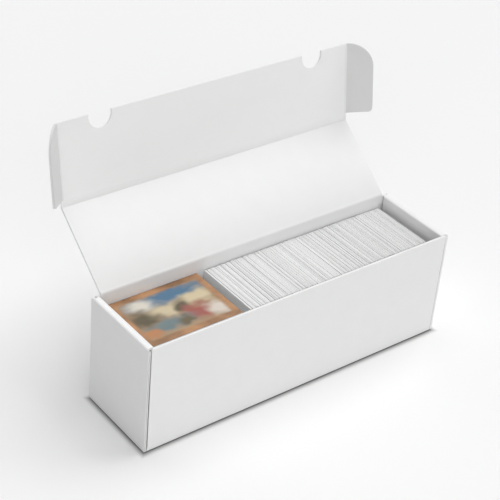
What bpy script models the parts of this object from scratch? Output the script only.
"""A card storage box folded from one blank of fluted board, with a tuck lid, and the cards in it.

Metres, +Z up, +X along the box to the right. The origin is the centre of the underside.
Each panel is drawn as seen from outside, with its thickness behind it, and is then turned into place.
"""

import math

import bmesh
import bpy
from mathutils import Matrix

# Cards that the box is made for
CARD_WIDTH = 0.0635
CARD_HEIGHT = 0.0889
CARD_CORNER_RADIUS = 0.0005
CARD_CORNER_STEPS = 2

# Box: its outside length, and the room inside round upright cards
BOX_LENGTH = 0.312
CARD_BACK_CLEARANCE = 0.0008
CARD_FRONT_ROOM = 0.0122
CARD_HEADROOM = 0.0108

# Board, its seams and its folds
BOARD = 0.002
SEAM = 0.0003
FOLD_RADIUS = 0.0016
FOLD_STEPS = 3
HINGE_STEPS = 6
ARC_STEPS = 7

# Room that the tucked flap and ears have beside the walls
TUCK_CLEARANCE = 0.0008

# Lid at rest: degrees opened from shut, flap and ears folded from flat
LID_OPEN_DEG = 141.5
FLAP_FOLD_DEG = 43.0
EAR_FOLD_DEG = 46.0

# Tuck flap and its thumb notches
FLAP_LENGTH = 0.0725
FLAP_CORNER_RADIUS = 0.0015
NOTCH_WIDTH = 0.0215
NOTCH_DEPTH = 0.0135
NOTCH_FROM_BOX_END = 0.048
NOTCH_STEPS = 12

# Ears at the ends of the tuck flap
EAR_REACH = 0.025
EAR_START = 0.0075
EAR_HEEL_RISE = 0.002
EAR_HEEL_RADIUS = 0.004
EAR_TIP_RADIUS = 0.021

# Corner tabs between the layers of the end walls
CORNER_TAB_RELIEF = 0.001
CORNER_TAB_PARTING = 0.004
CORNER_TAB_RADIUS = 0.008

# Inner end walls and the tabs that lock them in the bottom
INNER_WALL_RELIEF = 0.0005
LOCK_WIDTH = 0.018
LOCK_SPACING = 0.038
LOCK_TAPER = 0.001
LOCK_RECESS = 0.0003
CUT_OVERRUN = 0.001

# Bundles of cards
CARD_UNEVENNESS = 0.0006
GROOVE_WIDTH = 0.0007
GROOVE_DEPTH = 0.0012
UNEVEN_STEP_SHARE = 0.618

# Flat pile at the left, with one card face up on it
PILE_EAR_CLEARANCE = 0.0021
PILE_BUNDLES = 4
PILE_SLICES = 3
FACE_BELOW_RIM = 0.0109
FACE_THICKNESS = 0.0005

# Row of standing cards
ROW_FROM_PILE = 0.0078
ROW_FROM_END = 0.0049
ROW_PACKS = 12
ROW_SLICES = 5

# Worked out from the sizes above
FLOOR_TOP = BOARD + SEAM
BOX_DEPTH = CARD_WIDTH + CARD_BACK_CLEARANCE + CARD_FRONT_ROOM + 2 * BOARD
BOX_HEIGHT = FLOOR_TOP + CARD_HEIGHT + CARD_HEADROOM
HALF_LENGTH = BOX_LENGTH / 2
HALF_DEPTH = BOX_DEPTH / 2
HALF_BOARD = BOARD / 2
WALL_STACK = 3 * BOARD + 2 * SEAM
WALL_END = HALF_LENGTH - BOARD - SEAM
CAVITY_END = HALF_LENGTH - WALL_STACK
LID_END = CAVITY_END - TUCK_CLEARANCE
LID_REACH = BOX_DEPTH - 2 * BOARD - TUCK_CLEARANCE
HINGE_Y = HALF_DEPTH - HALF_BOARD
HINGE_Z = BOX_HEIGHT + SEAM + HALF_BOARD
EAR_AXIS = LID_END - HALF_BOARD
CARD_Y = HALF_DEPTH - BOARD - CARD_BACK_CLEARANCE - CARD_WIDTH / 2
PILE_X = -LID_END + BOARD + PILE_EAR_CLEARANCE
PILE_TOP = BOX_HEIGHT - FACE_BELOW_RIM - FACE_THICKNESS - SEAM
ROW_X = PILE_X + CARD_HEIGHT + ROW_FROM_PILE
ROW_END = CAVITY_END - ROW_FROM_END

# Turns that bring a panel drawn facing +Z to face each way
FACING_DEG = {
    "up": (0, 0, 0),
    "down": (180, 0, 0),
    "front": (90, 0, 0),
    "back": (90, 0, 180),
    "left": (90, 0, -90),
    "right": (90, 0, 90),
}

# Finishes: colour, roughness
WHITE_BOARD = ((0.92, 0.92, 0.915), 0.75)
INNER_BOARD = ((0.88, 0.88, 0.875), 0.8)
CARD_EDGES = ((0.8, 0.8, 0.79), 0.7)
CARD_FACE = ((0.58, 0.36, 0.2), 0.35)


def clear_scene():
    for old in list(bpy.data.objects):
        bpy.data.objects.remove(old, do_unlink=True)


def finish(name, look):
    colour, roughness = look
    material = bpy.data.materials.new(name)
    material.use_nodes = True
    shader = material.node_tree.nodes["Principled BSDF"]
    shader.inputs["Base Color"].default_value = (*colour, 1)
    shader.inputs["Roughness"].default_value = roughness
    shader.inputs["Metallic"].default_value = 0
    return material


def add_object(name, mesh, look, location, turn_deg, parent=None):
    mesh.materials.append(finish(name, look))
    mesh.shade_smooth()
    mesh.set_sharp_from_angle(angle=math.radians(30))
    piece = bpy.data.objects.new(name, mesh)
    bpy.context.collection.objects.link(piece)
    piece.parent = parent
    piece.location = location
    piece.rotation_euler = [math.radians(angle) for angle in turn_deg]
    return piece


def add_crease(name, location, turn_deg, parent=None):
    """An empty on a fold line, which carries what the fold turns."""
    crease = bpy.data.objects.new(name, None)
    bpy.context.collection.objects.link(crease)
    crease.parent = parent
    crease.location = location
    crease.rotation_euler = [math.radians(angle) for angle in turn_deg]
    return crease


def loft(name, rings):
    """A closed body through rings of points, from the uppermost ring to the lowest."""
    mesh = bpy.data.meshes.new(name)
    body = bmesh.new()
    loops = [[body.verts.new(point) for point in ring] for ring in rings]
    body.faces.new(loops[0])
    for upper, lower in zip(loops, loops[1:]):
        for here in range(len(upper)):
            after = (here + 1) % len(upper)
            body.faces.new((upper[here], lower[here], lower[after], upper[after]))
    body.faces.new(list(reversed(loops[-1])))
    body.normal_update()
    body.to_mesh(mesh)
    body.free()
    return mesh


# Profiles run through the board, as depth below the outer face and distance drawn in from the fold line

def fold_profile():
    """Half of a fixed fold: a rounded outer corner, then a mitre down to the inner face."""
    parting = SEAM / math.sqrt(2)
    profile = []
    for step in range(FOLD_STEPS + 1):
        angle = math.radians(45) * step / FOLD_STEPS
        depth = FOLD_RADIUS * (1 - math.cos(angle))
        drawn_in = FOLD_RADIUS * (1 - math.sin(angle))
        profile.append((depth, drawn_in + parting))
    profile.append((BOARD, BOARD + parting))
    return profile


def hinge_profile():
    """A working fold: a half round about the fold line, so the panel turns in place."""
    profile = []
    for step in range(HINGE_STEPS + 1):
        angle = math.pi * (step / HINGE_STEPS - 1 / 2)
        profile.append((HALF_BOARD * (1 + math.sin(angle)), -HALF_BOARD * math.cos(angle)))
    return profile


def arc(centre_x, centre_y, radius, start_deg, end_deg, steps):
    points = []
    for step in range(steps + 1):
        angle = math.radians(start_deg + (end_deg - start_deg) * step / steps)
        points.append((centre_x + radius * math.cos(angle), centre_y + radius * math.sin(angle)))
    return points


def rectangle(x0, x1, y0, y1):
    return [(x0, y0), (x1, y0), (x1, y1), (x0, y1)]


def rounded_rectangle(x0, x1, y0, y1, radius, steps):
    points = arc(x0 + radius, y0 + radius, radius, 180, 270, steps)
    points += arc(x1 - radius, y0 + radius, radius, 270, 360, steps)
    points += arc(x1 - radius, y1 - radius, radius, 0, 90, steps)
    points += arc(x0 + radius, y1 - radius, radius, 90, 180, steps)
    return points


def mirrored(points):
    return [(-x, y) for x, y in reversed(points)]


def board(name, points, profile, top=0.0, left=None, right=None, low=None, high=None):
    """A sheet of board: points on a named side are drawn in along the profile, the rest are cut square."""
    rings = []
    for depth, drawn_in in profile:
        ring = []
        for x, y in points:
            pull_x = (x == left) - (x == right)
            pull_y = (y == low) - (y == high)
            ring.append((x + pull_x * drawn_in, y + pull_y * drawn_in, top - depth))
        rings.append(ring)
    return loft(name, rings)


def lock_places():
    return (-LOCK_SPACING / 2, LOCK_SPACING / 2)


def build_bottom():
    outline = rectangle(-HALF_LENGTH, HALF_LENGTH, -HALF_DEPTH, HALF_DEPTH)
    mesh = board(
        "bottom_panel", outline, fold_profile(),
        left=-HALF_LENGTH, right=HALF_LENGTH, low=-HALF_DEPTH, high=HALF_DEPTH,
    )
    bottom = add_object("bottom_panel", mesh, WHITE_BOARD, (0, 0, 0), FACING_DEG["down"])
    cut = bottom.modifiers.new("lock_slots", "BOOLEAN")
    cut.operation = "DIFFERENCE"
    cut.solver = "EXACT"
    cut.object = lock_slot_cutter()


def lock_slot_cutter():
    """Four upright bars where the locking tabs go through the bottom."""
    mesh = bpy.data.meshes.new("lock_slot_cutter")
    body = bmesh.new()
    size = (BOARD + 2 * SEAM, LOCK_WIDTH + 2 * SEAM, BOARD + 2 * CUT_OVERRUN)
    for side in (-1, 1):
        for place in lock_places():
            centre = (side * (CAVITY_END + HALF_BOARD), place, HALF_BOARD)
            shape = Matrix.Translation(centre) @ Matrix.Diagonal((*size, 1))
            bmesh.ops.create_cube(body, size=1, matrix=shape)
    body.to_mesh(mesh)
    body.free()
    cutter = bpy.data.objects.new("lock_slot_cutter", mesh)
    bpy.context.collection.objects.link(cutter)
    cutter.hide_render = True
    cutter.display_type = "WIRE"
    return cutter


def build_long_walls():
    outline = rectangle(-WALL_END, WALL_END, 0, BOX_HEIGHT)
    for name, facing, y in (("front_wall", "front", -HALF_DEPTH), ("back_wall", "back", HALF_DEPTH)):
        mesh = board(name, outline, fold_profile(), left=-WALL_END, right=WALL_END, low=0)
        add_object(name, mesh, WHITE_BOARD, (0, y, 0), FACING_DEG[facing])


def corner_tab_outline():
    """A tab folded in from a long wall, its fold at the right and its free corners rounded."""
    fold = HALF_DEPTH
    edge = CORNER_TAB_PARTING / 2
    low = FLOOR_TOP + CORNER_TAB_RELIEF
    high = BOX_HEIGHT - BOARD - SEAM - CORNER_TAB_RELIEF
    radius = CORNER_TAB_RADIUS
    points = arc(edge + radius, low + radius, radius, 180, 270, ARC_STEPS)
    points += [(fold, low), (fold, high)]
    points += arc(edge + radius, high - radius, radius, 90, 180, ARC_STEPS)
    return points


def build_corner_tabs():
    folded_right = corner_tab_outline()
    folded_left = mirrored(folded_right)
    for end, facing, x in (("left", "left", -WALL_END), ("right", "right", WALL_END)):
        for wall in ("front", "back"):
            name = f"{wall}_{end}_corner_tab"
            if (wall == "front") == (end == "left"):
                mesh = board(name, folded_right, fold_profile(), right=HALF_DEPTH)
            else:
                mesh = board(name, folded_left, fold_profile(), left=-HALF_DEPTH)
            add_object(name, mesh, INNER_BOARD, (x, 0, 0), FACING_DEG[facing])


def inner_wall_outline():
    half_width = HALF_DEPTH - BOARD - SEAM - INNER_WALL_RELIEF
    points = [(-half_width, FLOOR_TOP)]
    for place in lock_places():
        start = place - LOCK_WIDTH / 2
        end = place + LOCK_WIDTH / 2
        points += [(start, FLOOR_TOP), (start + LOCK_TAPER, LOCK_RECESS)]
        points += [(end - LOCK_TAPER, LOCK_RECESS), (end, FLOOR_TOP)]
    points += [(half_width, FLOOR_TOP), (half_width, BOX_HEIGHT), (-half_width, BOX_HEIGHT)]
    return points


def build_end_walls():
    """Each end wall rolls over at the rim: outer layer, top strip, and an inner layer locked in the bottom."""
    outer = rectangle(-HALF_DEPTH, HALF_DEPTH, 0, BOX_HEIGHT)
    strip_end = HALF_DEPTH - BOARD - SEAM
    strip = rectangle(0, WALL_STACK, -strip_end, strip_end)
    for end, inward, side in (("left", "right", -1), ("right", "left", 1)):
        name = f"{end}_end_outer_wall"
        mesh = board(name, outer, fold_profile(), low=0, high=BOX_HEIGHT)
        add_object(name, mesh, WHITE_BOARD, (side * HALF_LENGTH, 0, 0), FACING_DEG[end])

        name = f"{end}_end_top_strip"
        mesh = board(name, strip, fold_profile(), left=0, right=WALL_STACK)
        start = -HALF_LENGTH if side < 0 else CAVITY_END
        add_object(name, mesh, WHITE_BOARD, (start, 0, BOX_HEIGHT), FACING_DEG["up"])

        name = f"{end}_end_inner_wall"
        mesh = board(name, inner_wall_outline(), fold_profile(), high=BOX_HEIGHT)
        add_object(name, mesh, INNER_BOARD, (side * CAVITY_END, 0, 0), FACING_DEG[inward])


def notch(centre):
    """A thumb notch in the free edge, from right to left: straight sides and a half-round end."""
    radius = NOTCH_WIDTH / 2
    floor_y = FLAP_LENGTH - NOTCH_DEPTH + radius
    points = [(centre + radius, FLAP_LENGTH)]
    points += arc(centre, floor_y, radius, 0, -180, NOTCH_STEPS)
    points += [(centre - radius, FLAP_LENGTH)]
    return points


def flap_outline():
    ear_edge = EAR_AXIS - HALF_BOARD - SEAM
    heel = EAR_START - SEAM
    radius = FLAP_CORNER_RADIUS
    notch_centre = HALF_LENGTH - NOTCH_FROM_BOX_END
    right_end = [(LID_END, heel), (ear_edge, heel)]
    right_end += arc(ear_edge - radius, FLAP_LENGTH - radius, radius, 0, 90, FOLD_STEPS)
    points = [(-LID_END, 0), (LID_END, 0)]
    points += right_end
    points += notch(notch_centre)
    points += notch(-notch_centre)
    points += mirrored(right_end)
    return points


def ear_outline():
    """The right ear laid flat, its fold at x = 0: a small round at the heel and a large one at the tip."""
    heel_y = EAR_START + EAR_HEEL_RISE
    points = [(0, EAR_START)]
    points += arc(EAR_REACH - EAR_HEEL_RADIUS, heel_y + EAR_HEEL_RADIUS, EAR_HEEL_RADIUS, 280, 360, ARC_STEPS)
    points += arc(EAR_REACH - EAR_TIP_RADIUS, FLAP_LENGTH - EAR_TIP_RADIUS, EAR_TIP_RADIUS, 0, 90, ARC_STEPS)
    points += [(0, FLAP_LENGTH)]
    return points


def build_lid():
    lid_crease = add_crease("lid_crease", (0, HINGE_Y, HINGE_Z), (180 - LID_OPEN_DEG, 0, 0))
    outline = rectangle(-LID_END, LID_END, 0, LID_REACH - HALF_BOARD - SEAM)
    mesh = board("lid_panel", outline, hinge_profile(), top=HALF_BOARD, low=0)
    add_object("lid_panel", mesh, WHITE_BOARD, (0, 0, 0), FACING_DEG["up"], lid_crease)

    flap_crease = add_crease("flap_crease", (0, LID_REACH, 0), (FLAP_FOLD_DEG, 0, 0), lid_crease)
    mesh = board("lid_tuck_flap", flap_outline(), hinge_profile(), top=HALF_BOARD, low=0)
    add_object("lid_tuck_flap", mesh, WHITE_BOARD, (0, 0, 0), FACING_DEG["up"], flap_crease)

    ear_crease = add_crease("left_ear_crease", (-EAR_AXIS, 0, 0), (0, EAR_FOLD_DEG, 0), flap_crease)
    mesh = board("left_lid_ear", mirrored(ear_outline()), hinge_profile(), top=HALF_BOARD, right=0)
    add_object("left_lid_ear", mesh, WHITE_BOARD, (0, 0, 0), FACING_DEG["up"], ear_crease)

    ear_crease = add_crease("right_ear_crease", (EAR_AXIS, 0, 0), (0, -EAR_FOLD_DEG, 0), flap_crease)
    mesh = board("right_lid_ear", ear_outline(), hinge_profile(), top=HALF_BOARD, left=0)
    add_object("right_lid_ear", mesh, WHITE_BOARD, (0, 0, 0), FACING_DEG["up"], ear_crease)


def card_ring(z, trim):
    """The outline of a card at one height of its bundle, trimmed at its top and sides."""
    half_width = CARD_WIDTH / 2 - trim
    outline = rounded_rectangle(
        -half_width, half_width, 0, CARD_HEIGHT - trim, CARD_CORNER_RADIUS, CARD_CORNER_STEPS,
    )
    return [(x, y, z) for x, y in outline]


def unevenness(number):
    """How far a slice of cards stands short of full height: the same spread each time, in no plain order."""
    return CARD_UNEVENNESS * math.modf(number * UNEVEN_STEP_SHARE)[0]


def bundle_mesh(name, thickness, slices, first_slice):
    """A bundle of cards lying face up, with a groove between each slice and the next."""
    pitch = thickness / slices
    rings = []
    for number in range(slices):
        trim = unevenness(first_slice + number)
        start = number * pitch
        end = start + pitch
        if number > 0:
            rings.append(card_ring(start, trim + GROOVE_DEPTH))
            start += GROOVE_WIDTH / 2
        if number < slices - 1:
            end -= GROOVE_WIDTH / 2
        rings += [card_ring(start, trim), card_ring(end, trim)]
    return loft(name, list(reversed(rings)))


def build_flat_pile():
    pitch = (PILE_TOP - FLOOR_TOP + SEAM) / PILE_BUNDLES
    lying = (0, 0, -90)
    for number in range(PILE_BUNDLES):
        name = f"flat_card_stack_{number + 1}"
        mesh = bundle_mesh(name, pitch - SEAM, PILE_SLICES, number * PILE_SLICES)
        add_object(name, mesh, CARD_EDGES, (PILE_X, CARD_Y, FLOOR_TOP + number * pitch), lying)
    mesh = bundle_mesh("face_card", FACE_THICKNESS, 1, 0)
    add_object("face_card", mesh, CARD_FACE, (PILE_X, CARD_Y, PILE_TOP + SEAM), lying)


def build_card_row():
    pitch = (ROW_END - ROW_X + SEAM) / ROW_PACKS
    for number in range(ROW_PACKS):
        name = f"card_pack_{number + 1:02d}"
        mesh = bundle_mesh(name, pitch - SEAM, ROW_SLICES, number * ROW_SLICES)
        place = (ROW_X + number * pitch, CARD_Y, FLOOR_TOP)
        add_object(name, mesh, CARD_EDGES, place, FACING_DEG["right"])


clear_scene()
build_bottom()
build_long_walls()
build_corner_tabs()
build_end_walls()
build_lid()
build_flat_pile()
build_card_row()
